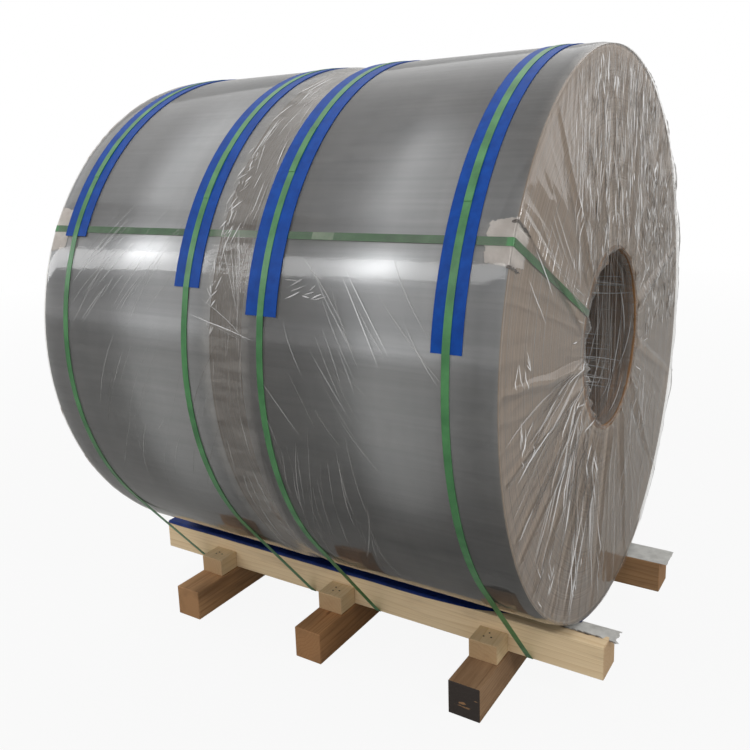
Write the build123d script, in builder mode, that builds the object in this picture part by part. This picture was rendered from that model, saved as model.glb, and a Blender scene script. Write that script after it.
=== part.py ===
"""Two aluminium coils packed as one load on a timber skid.

The coils lie with their eyes level, end to end on two long bearers that stand on three cross beams.
A film goes round them and through both eyes, one strap runs lengthwise through the eyes under the film,
and four straps, each on a plastic pad, tie the load down round the bearers.

Units are millimetres. X runs along the coils' axis, the front is -Y, +Z is up, and the origin is on the
floor under the middle of the skid. Angles round the coils are seen along -X, from the rear (0 degrees)
over the top (90 degrees) to the front (180 degrees).
"""

import os
from math import acos, atan2, cos, degrees, hypot, radians, sin, sqrt
from typing import NamedTuple

from build123d import *

# Coils and cores
COIL_RADIUS = 800.0
LEFT_COIL_WIDTH = 660.0
RIGHT_COIL_WIDTH = 690.0
COIL_GAP = 105.0
CORE_BORE_RADIUS = 252.5
CORE_WALL = 12.0
EDGE_BREAK = 1.5
TURN_BANDS = 5
TURN_BAND_DEPTH = 1.6

# Skid
BEARER_OVERHANG = {"front": 92.5, "rear": 110.5}
BEARER_WIDTH = 100.0
BEARER_HEIGHT = 100.0
BEARER_INNER_FACE = 216.0
SEAT_WIDTH = 10.0
CROSS_LENGTH = 1032.0
CROSS_WIDTH = 95.0
CROSS_HEIGHT = 100.0
CROSS_INSET = {"left": 197.5, "right": 227.5}
CROSS_MIDDLE_SHIFT = -13.0
BLOCK_WIDTH = 88.0
BLOCK_LENGTH = 78.0
BLOCK_HEIGHT = 58.0
ARRIS = 2.0

# Sheets between the skid and the coils
SHEET_THICKNESS = 2.0
SHEET_OVERHANG = 22.0
SHEET_SETBACK = {"front": 38.0, "rear": 1.0}
SHEET_TUCK = 4.0
LINER_THICKNESS = 2.0
LINER_OVERHANG = {"left": 88.0, "right": 2.0}
LINER_LIP = 2.0
LINER_CORNER_CUT = (300.0, 84.0)

# Wrapping
LAYER_GAP = 0.3
FILM_THICKNESS = 1.2
GUARD_THICKNESS = 1.5
GUARD_REACH = 60.0
GUARD_DROP = 76.0
GUARD_WIDTH = {"left": 130.0, "right": 96.0}
GUARD_BEND = 2.0
PLEAT_HEIGHT = {"eye": 14.0, "rim": 5.0}
PLEAT_WIDTH = {"eye": 56.0, "rim": 26.0}
PLEAT_MARGIN = {"eye": 16.0, "rim": 24.0}

# Straps and pads
STRAP_WIDTH = 19.0
STRAP_THICKNESS = 1.2
EYE_STRAP_ANGLE = 154.4
STRAP_CORNER_RADIUS = 3.0
SEAL_LENGTH = 150.0
PAD_THICKNESS = 2.0


class Pleat(NamedTuple):
    """A long fold of the film on a coil's end: its angle at the eye and at the rim."""

    eye_angle: float
    rim_angle: float


# The folds run together at the eye's front, where the film is gathered, and hang straight above it.
PLEATS = [
    Pleat(186, 177),
    Pleat(194, 192),
    Pleat(201, 204),
    Pleat(211, 209),
    Pleat(222, 219),
    Pleat(235, 232),
    Pleat(248, 240),
    Pleat(266, 259),
    Pleat(288, 284),
    Pleat(316, 312),
    Pleat(345, 340),
    Pleat(14, 14),
    Pleat(38, 50),
    Pleat(58, 74),
    Pleat(78, 86),
    Pleat(98, 94),
    Pleat(118, 103),
    Pleat(140, 128),
    Pleat(162, 150),
]


class GirthStrap(NamedTuple):
    """A girth strap's coil, how far its middle is from that coil's end, its pad, and where its sealed end is cut."""

    coil: str
    end: str
    inset: float
    pad_width: float
    pad_front: float
    pad_rear: float
    cut_angle: float


GIRTH_STRAPS = {
    "1": GirthStrap(
        coil="left", end="left", inset=101.5,
        pad_width=87.0, pad_front=156.0, pad_rear=30.0, cut_angle=142.4,
    ),
    "2": GirthStrap(
        coil="left", end="right", inset=84.5,
        pad_width=86.0, pad_front=164.8, pad_rear=24.0, cut_angle=147.6,
    ),
    "3": GirthStrap(
        coil="right", end="left", inset=64.5,
        pad_width=94.0, pad_front=168.8, pad_rear=20.0, cut_angle=142.2,
    ),
    "4": GirthStrap(
        coil="right", end="right", inset=118.5,
        pad_width=74.0, pad_front=171.8, pad_rear=18.0, cut_angle=148.2,
    ),
}

# Places along X, worked out from the widths
LOAD_LENGTH = LEFT_COIL_WIDTH + COIL_GAP + RIGHT_COIL_WIDTH
LOAD_START = -LOAD_LENGTH / 2
LOAD_END = LOAD_LENGTH / 2
COIL_SPANS = {
    "left": (LOAD_START, LOAD_START + LEFT_COIL_WIDTH),
    "right": (LOAD_END - RIGHT_COIL_WIDTH, LOAD_END),
}
CROSS_PLACES = {
    "left": LOAD_START + CROSS_INSET["left"],
    "middle": LOAD_START + LEFT_COIL_WIDTH + COIL_GAP / 2 + CROSS_MIDDLE_SHIFT,
    "right": LOAD_END - CROSS_INSET["right"],
}
BEARER_LENGTH = {face: LOAD_LENGTH + 2 * overhang for face, overhang in BEARER_OVERHANG.items()}

# Radii of the layers, worked outwards from the coil and inwards from the core
COIL_BORE_RADIUS = CORE_BORE_RADIUS + CORE_WALL + LAYER_GAP
GUARD_OUTER = COIL_RADIUS + LAYER_GAP + GUARD_THICKNESS
EYE_STRAP_INNER = GUARD_OUTER + LAYER_GAP
EYE_STRAP_OUTER = EYE_STRAP_INNER + STRAP_THICKNESS
EYE_STRAP_BORE_OUTER = CORE_BORE_RADIUS - LAYER_GAP
EYE_STRAP_BORE_INNER = EYE_STRAP_BORE_OUTER - STRAP_THICKNESS
FILM_INNER = EYE_STRAP_OUTER + LAYER_GAP
FILM_OUTER = FILM_INNER + FILM_THICKNESS
FILM_BORE_OUTER = EYE_STRAP_BORE_INNER - LAYER_GAP
FILM_BORE_INNER = FILM_BORE_OUTER - FILM_THICKNESS
STRAP_LOW_RADIUS = FILM_OUTER + LAYER_GAP
PAD_OUTER = STRAP_LOW_RADIUS + PAD_THICKNESS
STRAP_HIGH_RADIUS = PAD_OUTER + LAYER_GAP
EYE_STRAP_BEND = GUARD_BEND + GUARD_THICKNESS + LAYER_GAP + STRAP_THICKNESS
FILM_BEND = EYE_STRAP_BEND + LAYER_GAP + FILM_THICKNESS
EYE_STRAP_END = LOAD_END + LAYER_GAP + GUARD_THICKNESS + LAYER_GAP + STRAP_THICKNESS
FILM_END = EYE_STRAP_END + LAYER_GAP + FILM_THICKNESS
LINER_TOP_RADIUS = FILM_OUTER + LAYER_GAP
SHEET_TOP_RADIUS = LINER_TOP_RADIUS + LINER_THICKNESS
SEAT_RADIUS = SHEET_TOP_RADIUS + SHEET_THICKNESS

# Heights: the coils sink into a shallow seat cut along each bearer's inner top edge
BEARER_OUTER_FACE = BEARER_INNER_FACE + BEARER_WIDTH
BEARER_TOP = CROSS_HEIGHT + BEARER_HEIGHT
AXIS_HEIGHT = BEARER_TOP + sqrt(SEAT_RADIUS**2 - (BEARER_INNER_FACE + SEAT_WIDTH) ** 2)
COIL_AXIS = Axis((0, 0, AXIS_HEIGHT), (1, 0, 0))


def radial_plane(angle):
    """A plane through the coils' axis, its x along the coils and its y outwards at that angle."""
    outwards = Vector(0, cos(radians(angle)), sin(radians(angle)))
    return Plane(origin=(0, 0, AXIS_HEIGHT), x_dir=(1, 0, 0), z_dir=Vector(1, 0, 0).cross(outwards))


def on_circle(radius, angle):
    """A point (y, z) at that radius and angle round the coils' axis."""
    return (radius * cos(radians(angle)), AXIS_HEIGHT + radius * sin(radians(angle)))


def save(piece, name):
    """Labels a finished piece and writes it to its own file."""
    piece.part.label = name
    export_step(piece.part, f"parts/{name}.step")


def make_cross_beam(place):
    """One beam across the skid, lying on the floor."""
    with BuildPart() as beam:
        with Locations((place, 0, CROSS_HEIGHT / 2)):
            Box(CROSS_WIDTH, CROSS_LENGTH, CROSS_HEIGHT)
        chamfer(beam.edges(), ARRIS)
    return beam


def make_bearer(side, length):
    """One long bearer; the seat for the coils is cut along its inner top edge. side is -1 in front, 1 behind."""
    middle = side * (BEARER_INNER_FACE + BEARER_WIDTH / 2)
    with BuildPart() as bearer:
        with Locations((0, middle, CROSS_HEIGHT + BEARER_HEIGHT / 2)):
            Box(length, BEARER_WIDTH, BEARER_HEIGHT)
        chamfer(bearer.edges(), ARRIS)
        with BuildSketch(Plane.YZ.offset(-length)):
            with Locations((0, AXIS_HEIGHT)):
                Circle(SEAT_RADIUS)
        extrude(amount=2 * length, mode=Mode.SUBTRACT)
    return bearer


def make_stop_block(place, side):
    """A short block nailed to a cross beam against a bearer's outer face."""
    middle = side * (BEARER_OUTER_FACE + BLOCK_LENGTH / 2)
    with BuildPart() as block:
        with Locations((place, middle, CROSS_HEIGHT + BLOCK_HEIGHT / 2)):
            Box(BLOCK_WIDTH, BLOCK_LENGTH, BLOCK_HEIGHT)
        chamfer(block.edges(), ARRIS)
    return block


def meeting_place(height, radius):
    """How far from the middle a flat layer at that height meets the circle of that radius."""
    return sqrt(radius**2 - (AXIS_HEIGHT - height) ** 2)


def draw_layer(bottom, radius, thickness, outer_edge, inner_edge):
    """Half a sheet's section: flat on a bearer from its outer edge to the coils, then bent down along them."""
    corners = {}
    for level, height, size in (("low", bottom, radius), ("high", bottom + thickness, radius - thickness)):
        foot = degrees(acos(meeting_place(height, size) / size))
        last = degrees(acos(inner_edge / radius))
        corners[level] = [on_circle(size, -angle) for angle in (foot, (foot + last) / 2, last)]
    low, high = corners["low"], corners["high"]
    with BuildLine() as outline:
        Polyline(high[0], (outer_edge, bottom + thickness), (outer_edge, bottom), low[0])
        ThreePointArc(*low)
        Line(low[-1], high[-1])
        ThreePointArc(*reversed(high))
    return outline.edges()


def make_bearer_sheet(face, side):
    """The sheet on one bearer, under the liner. side is -1 in front, 1 behind."""
    end = BEARER_LENGTH[face] / 2 + SHEET_OVERHANG
    outer_edge = BEARER_OUTER_FACE - SHEET_SETBACK[face]
    inner_edge = BEARER_INNER_FACE - SHEET_TUCK
    with BuildPart() as sheet:
        with BuildSketch(Plane.YZ.offset(-end)):
            make_face(draw_layer(BEARER_TOP, SEAT_RADIUS, SHEET_THICKNESS, outer_edge, inner_edge))
            if side < 0:
                mirror(about=Plane.YZ, mode=Mode.REPLACE)
        extrude(amount=2 * end)
    return sheet


def make_coil_liner():
    """The plastic liner: over both bearers, and along the coils' undersides between them."""
    bottom = BEARER_TOP + SHEET_THICKNESS
    outer_edge = BEARER_OUTER_FACE + LINER_LIP
    end = LOAD_END + LINER_OVERHANG["right"]
    cut_length, cut_depth = LINER_CORNER_CUT
    with BuildPart() as liner:
        with BuildSketch(Plane.YZ.offset(LOAD_START - LINER_OVERHANG["left"])):
            make_face(draw_layer(bottom, SHEET_TOP_RADIUS, LINER_THICKNESS, outer_edge, 0))
            mirror(about=Plane.YZ)
        extrude(amount=LOAD_LENGTH + sum(LINER_OVERHANG.values()))
        # At the right end the flat parts are cut back at a slant, from the coil to the bearer's outer edge.
        with BuildSketch(Plane.XY.offset(bottom)):
            with BuildLine():
                Polyline(
                    (end, outer_edge - cut_depth),
                    (end, outer_edge),
                    (end - cut_length, outer_edge),
                    close=True,
                )
            make_face()
            mirror(about=Plane.XZ)
        extrude(amount=LINER_THICKNESS, mode=Mode.SUBTRACT)
    return liner


def make_coil(start, end):
    """One coil, turned with its bore; bands of turns stand a little in or out at both ends."""
    inner = COIL_BORE_RADIUS
    band = (COIL_RADIUS - EDGE_BREAK - inner) / TURN_BANDS
    right_side = []
    for number in range(TURN_BANDS):
        recess = TURN_BAND_DEPTH * (number % 2)
        right_side.append((end - recess, inner + number * band))
        right_side.append((end - recess, inner + (number + 1) * band))
    left_side = [(start + (end - x), radius) for x, radius in reversed(right_side)]
    rim = [(end - EDGE_BREAK, COIL_RADIUS), (start + EDGE_BREAK, COIL_RADIUS)]
    outline = [(x, AXIS_HEIGHT + radius) for x, radius in right_side + rim + left_side]
    with BuildPart() as coil:
        with BuildSketch(Plane.XZ):
            with BuildLine():
                Polyline(*outline, close=True)
            make_face()
        revolve(axis=COIL_AXIS)
    return coil


def make_core(start, end):
    """The fibre tube that a coil is wound on."""
    with BuildPart() as core:
        with BuildSketch(Plane.YZ.offset(start)):
            with Locations((0, AXIS_HEIGHT)):
                Circle(CORE_BORE_RADIUS + CORE_WALL)
                Circle(CORE_BORE_RADIUS, mode=Mode.SUBTRACT)
        extrude(amount=end - start)
        mouths = core.edges().filter_by(GeomType.CIRCLE).filter_by(lambda edge: edge.radius == CORE_BORE_RADIUS)
        chamfer(mouths, EDGE_BREAK)
    return core


def draw_film_outline(inset):
    """The film's section, on the outer face (inset 0) or the inner face (inset of one thickness)."""
    outer = AXIS_HEIGHT + FILM_OUTER - inset
    inner = AXIS_HEIGHT + FILM_BORE_INNER + inset
    right, left = FILM_END - inset, inset - FILM_END
    # Each corner is cut straight, along the tangent of the bend that clears the strap inside it.
    cut = (FILM_BEND - inset) * (2 - sqrt(2))
    with BuildLine() as outline:
        Polyline(
            (left + cut, outer),
            (right - cut, outer),
            (right, outer - cut),
            (right, inner + cut),
            (right - cut, inner),
            (left + cut, inner),
            (left, inner + cut),
            (left, outer - cut),
            close=True,
        )
    return outline.edges()


def make_pleat(pleat):
    """One fold of the film on the right end, a long wedge that is highest at the eye."""
    ends = {
        "eye": on_circle(FILM_BORE_INNER + PLEAT_MARGIN["eye"], pleat.eye_angle),
        "rim": on_circle(FILM_OUTER - PLEAT_MARGIN["rim"], pleat.rim_angle),
    }
    run = Vector(0, ends["rim"][0] - ends["eye"][0], ends["rim"][1] - ends["eye"][1])
    with BuildPart() as wedge:
        for where, (y, z) in ends.items():
            half = PLEAT_WIDTH[where] / 2
            with BuildSketch(Plane(origin=(FILM_END, y, z), x_dir=(1, 0, 0), z_dir=run)):
                with BuildLine():
                    Polyline((0, -half), (PLEAT_HEIGHT[where], 0), (0, half), (-FILM_THICKNESS / 2, 0), close=True)
                make_face()
        loft(ruled=True)
    return wedge


def make_film():
    """The stretch film: round the outside, over both ends, where it is pleated, and through both eyes."""
    with BuildPart() as film:
        with BuildSketch(Plane.XZ):
            make_face(draw_film_outline(0))
            make_face(draw_film_outline(FILM_THICKNESS), mode=Mode.SUBTRACT)
        revolve(axis=COIL_AXIS)
        for pleat in PLEATS:
            wedge = make_pleat(pleat).part
            add(wedge)
            add(wedge.mirror(Plane.YZ))
    return film


def make_edge_guard(end, direction, width):
    """A bent sheet under the eye strap, where it turns over the coil's rim. direction is 1 at the right end."""
    sweep = degrees(width / COIL_RADIUS)
    corner = (end + direction * (LAYER_GAP + GUARD_THICKNESS), GUARD_OUTER)
    back = (end - direction * GUARD_REACH, GUARD_OUTER)
    foot = (corner[0], COIL_RADIUS - GUARD_DROP)
    side = Side.RIGHT if direction > 0 else Side.LEFT
    with BuildPart() as guard:
        with BuildSketch(radial_plane(EYE_STRAP_ANGLE - sweep / 2)):
            with BuildLine():
                FilletPolyline(back, corner, foot, radius=GUARD_BEND + GUARD_THICKNESS)
                offset(amount=GUARD_THICKNESS, side=side)
            make_face()
        revolve(axis=COIL_AXIS, revolution_arc=sweep)
    return guard


def make_eye_strap():
    """The lengthwise strap: a flat loop along the coils, down both ends and back through the eyes."""
    length = 2 * EYE_STRAP_END
    height = EYE_STRAP_OUTER - EYE_STRAP_BORE_INNER
    middle = (EYE_STRAP_OUTER + EYE_STRAP_BORE_INNER) / 2
    with BuildPart() as strap:
        with BuildSketch(radial_plane(EYE_STRAP_ANGLE)):
            with Locations((0, middle)):
                RectangleRounded(length, height, EYE_STRAP_BEND)
                RectangleRounded(
                    length - 2 * STRAP_THICKNESS,
                    height - 2 * STRAP_THICKNESS,
                    EYE_STRAP_BEND - STRAP_THICKNESS,
                    mode=Mode.SUBTRACT,
                )
        extrude(amount=STRAP_WIDTH / 2, both=True)
    return strap


def strap_place(spec):
    """Where a girth strap's middle lies along X."""
    start, end = COIL_SPANS[spec.coil]
    return start + spec.inset if spec.end == "left" else end - spec.inset


def draw_girth_loop(thickness, pad_front, pad_rear):
    """A taut loop round the pad, the film and the bearers' bottom edges, that far outside the strap's inner face."""
    low = STRAP_LOW_RADIUS + thickness
    high = STRAP_HIGH_RADIUS + thickness
    corner = STRAP_CORNER_RADIUS + thickness
    corner_y = BEARER_OUTER_FACE + LAYER_GAP - STRAP_CORNER_RADIUS
    corner_z = CROSS_HEIGHT - LAYER_GAP + STRAP_CORNER_RADIUS
    drop = AXIS_HEIGHT - corner_z
    # The straight run leaves the coil where the tangent to both circles touches it.
    lean = degrees(atan2(drop, corner_y))
    opening = degrees(acos((low - corner) / hypot(corner_y, drop)))
    leave = lean - opening
    step = degrees(acos(low / high))
    front_foot = on_circle(low, 180 + leave)
    rear_foot = on_circle(low, -leave)
    bend = 90 - leave
    touch = (corner * cos(radians(leave)), corner * sin(radians(leave)))
    with BuildLine() as loop:
        CenterArc((0, AXIS_HEIGHT), high, pad_rear, pad_front - pad_rear)
        Line(on_circle(high, pad_front), on_circle(low, pad_front + step))
        CenterArc((0, AXIS_HEIGHT), low, pad_front + step, 180 + leave - pad_front - step)
        Line(front_foot, (-corner_y - touch[0], corner_z - touch[1]))
        CenterArc((-corner_y, corner_z), corner, 180 + leave, bend)
        Line((-corner_y, corner_z - corner), (corner_y, corner_z - corner))
        CenterArc((corner_y, corner_z), corner, 270, bend)
        Line((corner_y + touch[0], corner_z - touch[1]), rear_foot)
        CenterArc((0, AXIS_HEIGHT), low, -leave, pad_rear - step + leave)
        Line(on_circle(low, pad_rear - step), on_circle(high, pad_rear))
    return loop.edges()


def draw_band(inner, outer, start, sweep):
    """A ring's part between two radii, from a start angle."""
    with BuildLine() as band:
        CenterArc((0, AXIS_HEIGHT), outer, start, sweep)
        Line(on_circle(outer, start + sweep), on_circle(inner, start + sweep))
        CenterArc((0, AXIS_HEIGHT), inner, start, sweep)
        Line(on_circle(inner, start), on_circle(outer, start))
    return band.edges()


def make_girth_strap(spec):
    """One strap round the load, with its sealed end lying on top of it."""
    seal = degrees(SEAL_LENGTH / STRAP_HIGH_RADIUS)
    seal_base = STRAP_HIGH_RADIUS + STRAP_THICKNESS
    with BuildPart() as strap:
        with BuildSketch(Plane.YZ.offset(strap_place(spec) - STRAP_WIDTH / 2)):
            make_face(draw_girth_loop(STRAP_THICKNESS, spec.pad_front, spec.pad_rear))
            make_face(draw_girth_loop(0, spec.pad_front, spec.pad_rear), mode=Mode.SUBTRACT)
            make_face(draw_band(seal_base, seal_base + STRAP_THICKNESS, spec.cut_angle - seal, seal))
        extrude(amount=STRAP_WIDTH)
    return strap


def make_pad(spec):
    """The plastic strip under a girth strap."""
    with BuildPart() as pad:
        with BuildSketch(Plane.YZ.offset(strap_place(spec) - spec.pad_width / 2)):
            make_face(draw_band(STRAP_LOW_RADIUS, PAD_OUTER, spec.pad_rear, spec.pad_front - spec.pad_rear))
        extrude(amount=spec.pad_width)
    return pad


def main():
    """Builds every piece and writes it."""
    os.makedirs("parts", exist_ok=True)

    for where, place in CROSS_PLACES.items():
        save(make_cross_beam(place), f"cross_beam_{where}")
    for face, side in (("front", -1), ("rear", 1)):
        save(make_bearer(side, BEARER_LENGTH[face]), f"bearer_{face}")
        for where, place in CROSS_PLACES.items():
            save(make_stop_block(place, side), f"stop_block_{face}_{where}")
        save(make_bearer_sheet(face, side), f"bearer_sheet_{face}")
    save(make_coil_liner(), "coil_liner")

    for where, (start, end) in COIL_SPANS.items():
        save(make_coil(start, end), f"coil_{where}")
        save(make_core(start, end), f"core_{where}")
    save(make_edge_guard(LOAD_START, -1, GUARD_WIDTH["left"]), "edge_guard_left")
    save(make_edge_guard(LOAD_END, 1, GUARD_WIDTH["right"]), "edge_guard_right")
    save(make_eye_strap(), "eye_strap")
    save(make_film(), "stretch_film")

    for number, spec in GIRTH_STRAPS.items():
        save(make_pad(spec), f"strap_pad_{number}")
        save(make_girth_strap(spec), f"girth_strap_{number}")


main()
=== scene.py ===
"""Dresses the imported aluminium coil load: satin coils in clinging film, green straps, blue pads, timber.

Everything is in metres, in the frame of the CAD model: X along the coils' axis, -Y to the front, Z up.
Angles round the coils are measured from the rear (0 degrees) over the top (90) to the front (180).
"""

import logging
import math
import random
from collections.abc import Callable
from dataclasses import dataclass, field
from enum import Enum
from typing import Any

import bmesh
import bpy
from mathutils import Matrix, Vector, noise

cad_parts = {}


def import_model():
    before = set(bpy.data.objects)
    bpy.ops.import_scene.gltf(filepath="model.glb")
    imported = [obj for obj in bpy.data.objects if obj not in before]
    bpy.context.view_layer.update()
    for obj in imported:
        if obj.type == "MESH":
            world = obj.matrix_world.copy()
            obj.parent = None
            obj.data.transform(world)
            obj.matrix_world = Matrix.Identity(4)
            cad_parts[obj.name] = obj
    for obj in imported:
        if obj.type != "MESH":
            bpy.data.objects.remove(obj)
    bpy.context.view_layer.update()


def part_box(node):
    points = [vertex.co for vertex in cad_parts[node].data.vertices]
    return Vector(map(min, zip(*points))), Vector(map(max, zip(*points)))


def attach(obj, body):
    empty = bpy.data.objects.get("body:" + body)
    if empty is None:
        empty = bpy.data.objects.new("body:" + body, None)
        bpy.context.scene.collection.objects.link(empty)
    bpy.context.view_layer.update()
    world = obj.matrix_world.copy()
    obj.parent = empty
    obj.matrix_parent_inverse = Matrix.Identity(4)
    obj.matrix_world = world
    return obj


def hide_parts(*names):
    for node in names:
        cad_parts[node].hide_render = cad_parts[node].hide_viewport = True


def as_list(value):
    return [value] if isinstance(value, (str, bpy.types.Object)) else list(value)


Tree = bpy.types.NodeTree
Socket = bpy.types.NodeSocket
Place = Callable[[float, float], Vector]

LOG = logging.getLogger("coil_load")
MM = 0.001
WHITE = (1.0, 1.0, 1.0, 1.0)
WELD_DISTANCE = 1e-5
# Where the lengthwise strap runs, in degrees round the coils.
STRAP_ANGLE = 154.4
# A share this near to 1 is a sheet's edge.
AT_EDGE = 0.999

# The long folds of the film on a coil's end, as the CAD model has them: angle at the eye, angle at the rim.
PLEATS = [
    (186, 177), (194, 192), (201, 204), (211, 209), (222, 219), (235, 232), (248, 240),
    (266, 259), (288, 284), (316, 312), (345, 340), (14, 14), (38, 50), (58, 74), (78, 86),
    (98, 94), (118, 103), (140, 128), (162, 150),
]


def linear(hex_colour: str) -> tuple[float, float, float, float]:
    """Turns an sRGB hex colour into the linear colour that shaders take.

    Args:
        hex_colour: six hex digits after a hash sign.

    Returns:
        Red, green, blue and an alpha of one.
    """
    parts = [int(hex_colour[i:i + 2], 16) / 255 for i in (1, 3, 5)]
    red, green, blue = (p / 12.92 if p <= 0.04045 else ((p + 0.055) / 1.055) ** 2.4 for p in parts)
    return red, green, blue, 1.0


def between(stops: list[tuple[float, float]], place: float) -> float:
    """Reads a value from stops by straight lines between them.

    Args:
        stops: place and value, in order.
        place: where to read.

    Returns:
        The value there, or the nearest end's.
    """
    for (low, first), (high, second) in zip(stops, stops[1:]):
        if place < high:
            return first + (second - first) * max(0.0, place - low) / (high - low)
    return stops[-1][1]


def clamp(value: float) -> float:
    """Keeps a value from 0 to 1."""
    return max(0.0, min(1.0, value))


def ridge(place: Vector) -> float:
    """Gives noise with sharp crests: 1 on a crest, falling to 0 away from it."""
    return 1 - min(1.0, abs(noise.noise(place)) * 2.6)


def angle_of(point: Vector) -> float:
    """Gives the angle of a point of the section round the coils' axis, from 0 to 360 degrees."""
    return math.degrees(math.atan2(point.y, point.x)) % 360


def plug(tree: Tree, node: bpy.types.Node, inputs: dict[Any, Any]) -> None:
    """Sets or links a node's inputs.

    Args:
        tree: the node tree it is in.
        node: the node.
        inputs: socket name or number to a constant or to another node's output.
    """
    for key, value in inputs.items():
        if isinstance(value, Socket):
            tree.links.new(value, node.inputs[key])
        else:
            node.inputs[key].default_value = value


def add_node(tree: Tree, kind: str, inputs: dict[Any, Any] | None = None, **settings: Any) -> bpy.types.Node:
    """Adds one shader node with its settings and links.

    Args:
        tree: the node tree to add to.
        kind: the node's Blender type name.
        inputs: what its inputs get, as plug takes them.
        **settings: attributes of the node.

    Returns:
        The new node.
    """
    node = tree.nodes.new(kind)
    for name, value in settings.items():
        setattr(node, name, value)
    plug(tree, node, inputs or {})
    return node


def add_math(tree: Tree, operation: str, *values: Any) -> Socket:
    """Adds one sum on numbers and gives its result."""
    return add_node(tree, "ShaderNodeMath", dict(enumerate(values)), operation=operation).outputs[0]


def add_vector_math(tree: Tree, operation: str, *values: Any) -> Socket:
    """Adds one sum on vectors and gives its result, which is a number for LENGTH."""
    node = add_node(tree, "ShaderNodeVectorMath", dict(enumerate(values)), operation=operation)
    return node.outputs["Value" if operation == "LENGTH" else "Vector"]


def mix_colours(tree: Tree, share: Any, first: Any, second: Any) -> Socket:
    """Adds a blend from the first colour to the second."""
    inputs = {"Factor": share, 6: first, 7: second}
    return add_node(tree, "ShaderNodeMix", inputs, data_type="RGBA").outputs[2]


def mix_values(tree: Tree, share: Any, first: Any, second: Any) -> Socket:
    """Adds a blend from the first number to the second."""
    inputs = {"Factor": share, "A": first, "B": second}
    return add_node(tree, "ShaderNodeMix", inputs, data_type="FLOAT").outputs["Result"]


def mix_shaders(tree: Tree, share: Any, first: Any, second: Any) -> Socket:
    """Adds a blend from the first shader to the second."""
    return add_node(tree, "ShaderNodeMixShader", {0: share, 1: first, 2: second}).outputs[0]


def map_range(tree: Tree, value: Socket, low: float, high: float, **limits: float) -> Socket:
    """Adds a straight scale from low to high, over 0 to 1 unless limits says otherwise."""
    inputs = {"Value": value, "To Min": low, "To Max": high}
    inputs.update({key.replace("_", " ").title(): limit for key, limit in limits.items()})
    return add_node(tree, "ShaderNodeMapRange", inputs).outputs[0]


def add_bump(tree: Tree, height: Socket, strength: float, distance: float) -> Socket:
    """Adds relief from a height and gives the normal."""
    return add_node(tree, "ShaderNodeBump", {"Height": height, "Strength": strength,
                                             "Distance": distance}).outputs[0]


def scaled_place(tree: Tree, place: Socket, scale: tuple[float, float, float]) -> Socket:
    """Adds a scale of coordinates."""
    return add_node(tree, "ShaderNodeMapping", {"Vector": place, "Scale": scale}).outputs[0]


def coordinates(tree: Tree, kind: str = "Object") -> Socket:
    """Adds texture coordinates of one kind."""
    return add_node(tree, "ShaderNodeTexCoord").outputs[kind]


def mesh_attribute(tree: Tree, name: str) -> Socket:
    """Adds the reading of a number that the mesh carries."""
    return add_node(tree, "ShaderNodeAttribute", attribute_name=name).outputs["Fac"]


def new_material(name: str) -> tuple[bpy.types.Material, Tree, bpy.types.Node]:
    """Makes an empty node material.

    Args:
        name: the material's name.

    Returns:
        The material, its tree and its Principled shader, already linked to the output.
    """
    material = bpy.data.materials.new(name)
    material.use_nodes = True
    tree = material.node_tree
    tree.nodes.clear()
    shader = tree.nodes.new("ShaderNodeBsdfPrincipled")
    add_node(tree, "ShaderNodeOutputMaterial", {"Surface": shader.outputs[0]})
    return material, tree, shader


def set_surface(tree: Tree, surface: Socket) -> None:
    """Links another shader to a material's output."""
    out = next(node for node in tree.nodes if node.bl_idname == "ShaderNodeOutputMaterial")
    tree.links.new(surface, out.inputs["Surface"])


def add_ramp(tree: Tree, factor: Socket, stops: list[tuple[float, Any]]) -> Socket:
    """Adds a colour ramp.

    Args:
        tree: the node tree to add to.
        factor: what drives the ramp.
        stops: position and grey level or linear colour, in order.

    Returns:
        The ramp's colour output.
    """
    ramp = add_node(tree, "ShaderNodeValToRGB", {"Fac": factor})
    elements = ramp.color_ramp.elements
    while len(elements) < len(stops):
        elements.new(0.5)
    for element, (position, value) in zip(elements, stops):
        element.position = position
        element.color = value if isinstance(value, tuple) else (value, value, value, 1.0)
    return ramp.outputs["Color"]


def add_noise(tree: Tree, vector: Socket, stretch: tuple[float, float, float], detail: float = 3.0,
              roughness: float = 0.55) -> Socket:
    """Adds noise whose grain has a given size each way.

    Args:
        tree: the node tree to add to.
        vector: the coordinates, in metres.
        stretch: the grain's size along each coordinate, in metres.
        detail: how many finer layers it has.
        roughness: how strong they are.

    Returns:
        The noise, from 0 to 1.
    """
    scaled = scaled_place(tree, vector, tuple(1 / size for size in stretch))
    return add_node(tree, "ShaderNodeTexNoise", {"Vector": scaled, "Scale": 1.0, "Detail": detail,
                                                 "Roughness": roughness}).outputs["Fac"]


@dataclass(frozen=True)
class RolledAluminium:
    """Mill-finish strip: satin metal with fine rolling lines round the coil that spread its shine."""

    bright: str = "#C4C5C8"
    dull: str = "#B5B7BA"
    roughness: float = 0.34
    spread: float = 0.88
    spread_turn: float = 0.25
    band: tuple[float, float, float] = (0.07, 2.0, 2.0)
    chatter: tuple[float, float, float] = (0.9, 0.012, 0.012)

    def build(self) -> bpy.types.Material:
        """Builds the material from slow bands round the coil and faint chatter marks across the strip."""
        material, tree, shader = new_material("rolled_aluminium")
        place = coordinates(tree)
        bands = add_noise(tree, place, self.band)
        marks = add_noise(tree, place, self.chatter, detail=4.0)
        mixed = mix_values(tree, 0.5, bands, marks)
        plug(tree, shader, {
            "Base Color": add_ramp(tree, mixed, [(0.38, linear(self.dull)), (0.62, linear(self.bright))]),
            "Tangent": add_node(tree, "ShaderNodeTangent", direction_type="RADIAL", axis="X").outputs[0],
            "Metallic": 1.0,
            "Roughness": self.roughness,
            "Anisotropic": self.spread,
            "Anisotropic Rotation": self.spread_turn,
        })
        return material


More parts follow.
